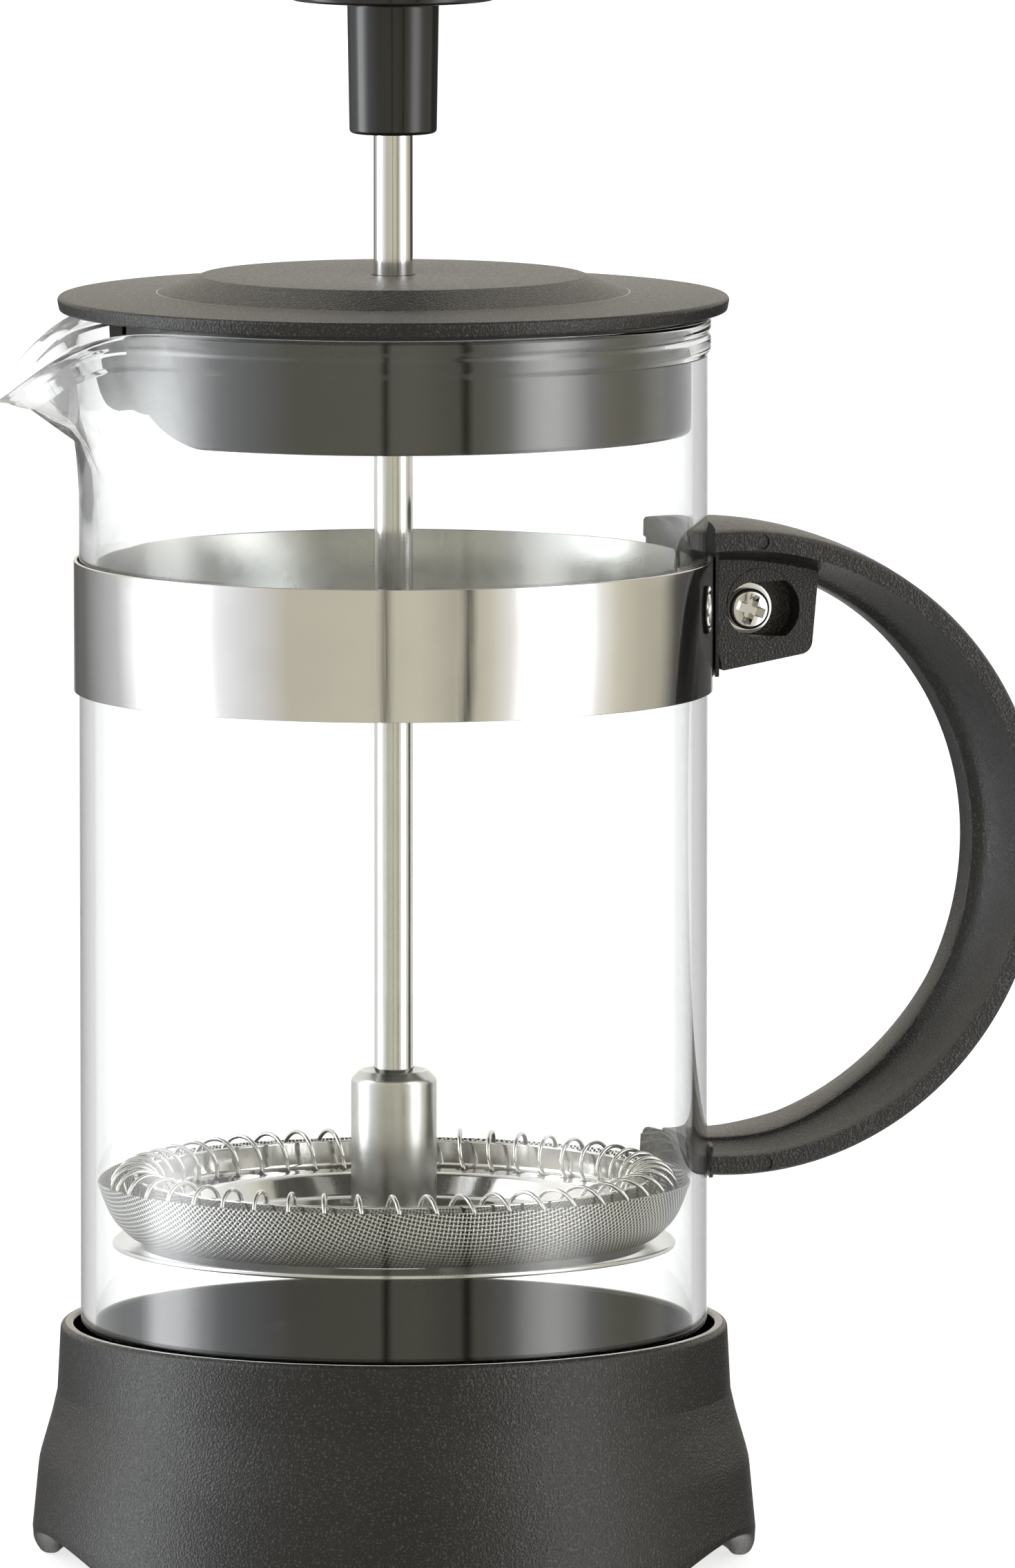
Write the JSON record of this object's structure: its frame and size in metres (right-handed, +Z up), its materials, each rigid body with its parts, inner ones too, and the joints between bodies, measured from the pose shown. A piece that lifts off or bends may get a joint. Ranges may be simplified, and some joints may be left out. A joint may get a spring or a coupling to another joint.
{
  "type": "french press",
  "caption": "Small coffee press: glass beaker with spout in a black plastic base, steel band and C handle, lid with pouring gap, and a sprung mesh plunger that slides through it.",
  "frame": {"origin": "on the surface that the feet stand on, midway between the spout's tip and the handle's outer face, in the press's plane of symmetry", "axes": "+Z up along the plunger; +X from the spout towards the handle; +Y completes the right-handed frame"},
  "size_m": [0.1188, 0.0806, 0.195],
  "materials": {
    "black_plastic": "fine spark-eroded grain, smooth on skirt and sleeve",
    "clear_glass": "clear, fire-polished rim",
    "polished_steel": "polished stainless steel",
    "satin_steel": "satin turned stainless steel",
    "woven_steel": "fine plain-woven stainless wire",
    "brass": "turned"
  },
  "bodies": {
    "carafe": {"base_cup": "black_plastic", "glass_beaker": "clear_glass", "steel_band": "polished_steel", "handle": "black_plastic", "clamp_screw": "polished_steel", "clamp_washer": "polished_steel", "clamp_nut": "polished_steel"},
    "lid": {"lid": "black_plastic"},
    "plunger": {"knob_body": "black_plastic", "knob_cap": "black_plastic", "knob_insert": "brass", "plunger_rod": "polished_steel", "filter_hub": "satin_steel", "spiral_plate": "polished_steel", "coil_spring": "polished_steel", "mesh_filter": "woven_steel", "cross_plate": "polished_steel", "filter_screw": "polished_steel"}
  },
  "joints": [
    {"name": "lid_lift", "type": "slide", "parent": "carafe", "child": "lid", "axis": [0, 0, 1], "range_m": [0, 0.12]},
    {"name": "plunger_slide", "type": "slide", "parent": "lid", "child": "plunger", "axis": [0, 0, 1], "range_m": [-0.0153, 0.08]}
  ]
}
